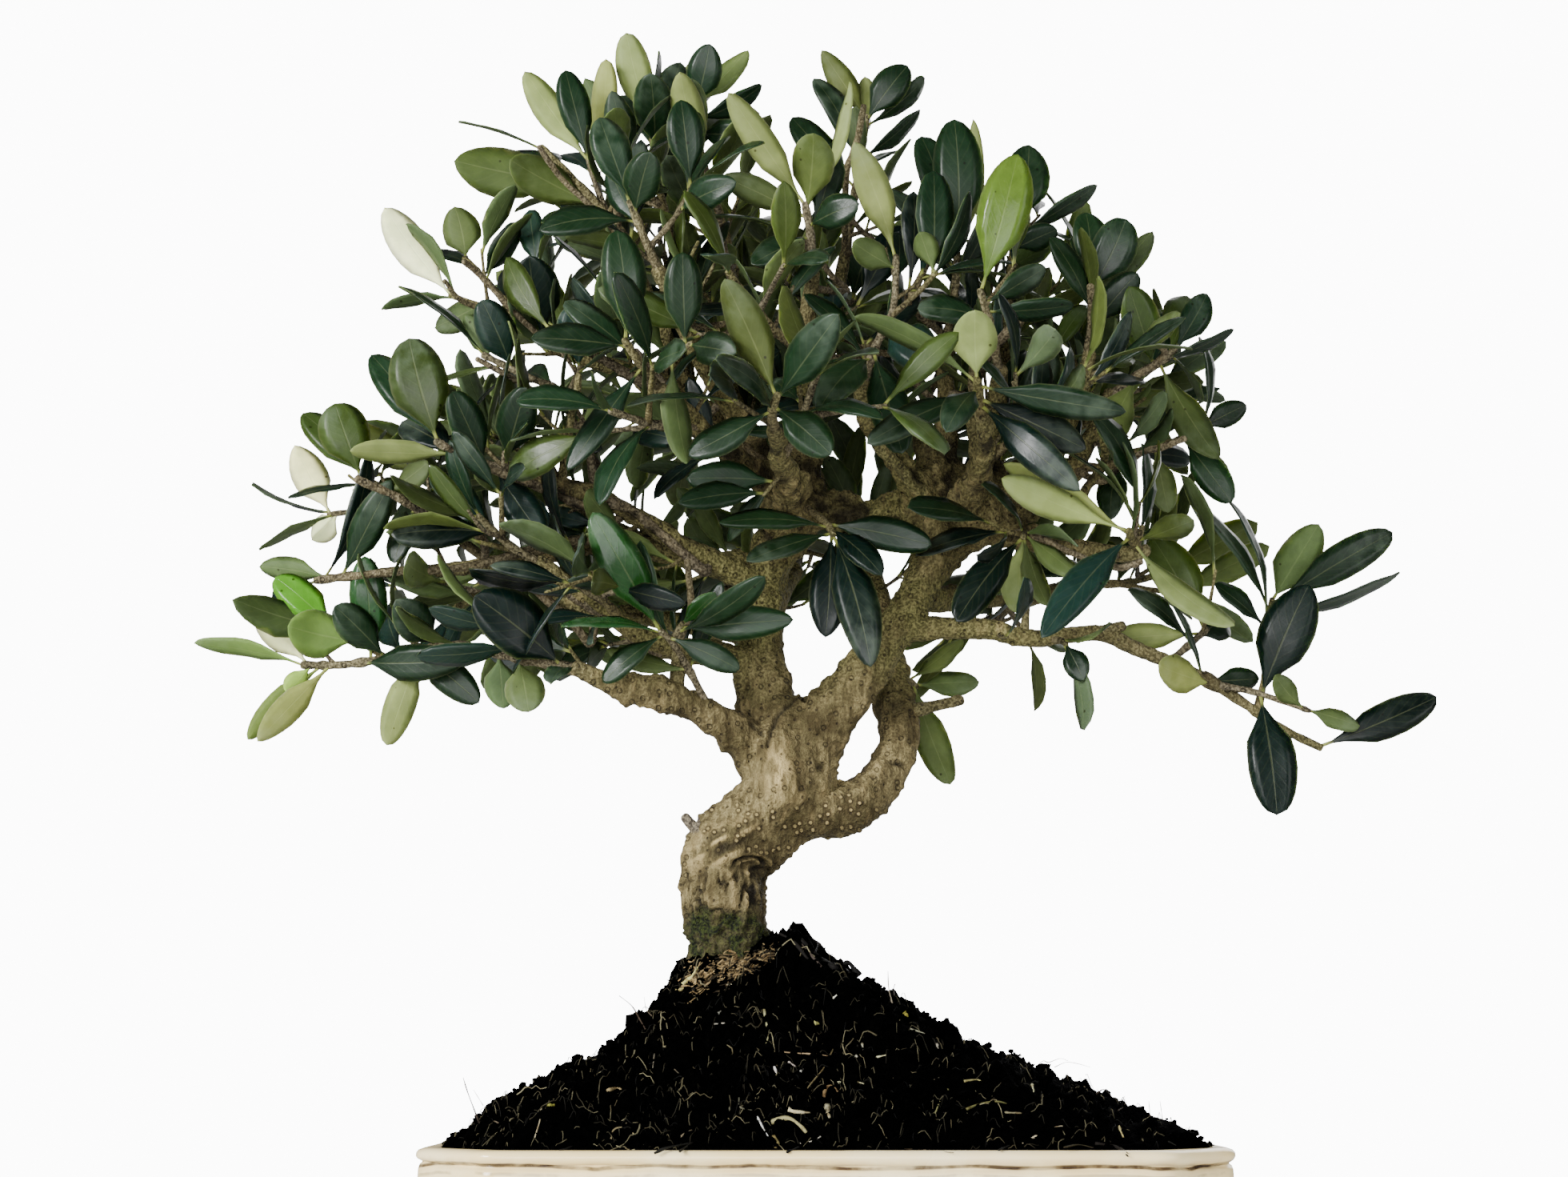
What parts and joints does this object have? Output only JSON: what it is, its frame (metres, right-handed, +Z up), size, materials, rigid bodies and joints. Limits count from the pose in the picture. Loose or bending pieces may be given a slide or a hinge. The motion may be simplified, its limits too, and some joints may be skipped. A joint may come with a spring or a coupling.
{
  "type": "olive bonsai tree",
  "caption": "Olive bonsai with a curved gnarled trunk, a root loop and narrow grey-green leaves, on a soil mound in a low cut-cornered glazed tray.",
  "frame": {"origin": "on the ground under the middle of the pot", "axes": "+Z up the trunk; -Y is the tree's front; +X to the right as the front is seen"},
  "size_m": [0.429, 0.2359, 0.478],
  "materials": {
    "pot": "cream glaze, gloss",
    "soil": "dark crumbly potting soil, matte",
    "wood": "rough grey-brown bark",
    "leaf": "leathery leaf, satin"
  },
  "bodies": {
    "root": {"pot": "pot", "soil": "soil", "tree_wood": "wood", "shoot_low_right_end": "leaf", "shoot_low_right_inner": "leaf", "shoot_low_right_hanging": "leaf", "shoot_loop_back": "leaf", "shoot_right_front_end": "leaf", "shoot_right_front_mid": "leaf", "shoot_centre_hanging": "leaf", "shoot_low_left_glossy": "leaf", "shoot_low_left_end": "leaf", "shoot_left_fourth_end": "leaf", "shoot_left_mid_outer": "leaf", "shoot_left_third_end": "leaf", "shoot_left_high_mid": "leaf", "shoot_left_high_end": "leaf", "shoot_left_crown_end": "leaf", "shoot_top_left_end": "leaf", "shoot_top_left_inner": "leaf", "shoot_top_middle_end": "leaf", "shoot_front_crown_end": "leaf", "shoot_yellow_limb_end": "leaf", "shoot_front_right_crown_end": "leaf", "shoot_top_right_end": "leaf", "shoot_top_far_right_end": "leaf", "shoot_right_crown_end": "leaf", "shoot_right_high_end": "leaf", "shoot_right_mid_end": "leaf", "shoot_front_right_end": "leaf", "shoot_front_middle_end": "leaf", "shoot_front_left_end": "leaf", "shoot_front_left_crown_end": "leaf", "shoot_front_left_side": "leaf", "shoot_front_middle_side": "leaf", "shoot_front_right_side": "leaf", "shoot_front_crown_side": "leaf", "shoot_left_second_end": "leaf", "shoot_left_second_fork_end": "leaf", "shoot_left_second_front": "leaf", "shoot_back_left_low_end": "leaf", "shoot_back_left_low_side": "leaf", "shoot_back_low_end": "leaf", "shoot_back_low_side": "leaf", "shoot_back_right_low_end": "leaf", "shoot_back_right_low_side": "leaf", "shoot_back_left_mid_end": "leaf", "shoot_back_left_mid_side": "leaf", "shoot_back_left_high_end": "leaf", "shoot_back_left_high_side": "leaf", "shoot_back_high_end": "leaf", "shoot_back_high_side": "leaf", "shoot_back_right_high_end": "leaf", "shoot_back_right_high_side": "leaf", "shoot_back_right_mid_end": "leaf", "shoot_back_right_mid_side": "leaf", "shoot_top_back_left": "leaf", "shoot_top_back_middle": "leaf", "shoot_top_back_right": "leaf", "shoot_loop_end": "leaf"}
  },
  "joints": []
}
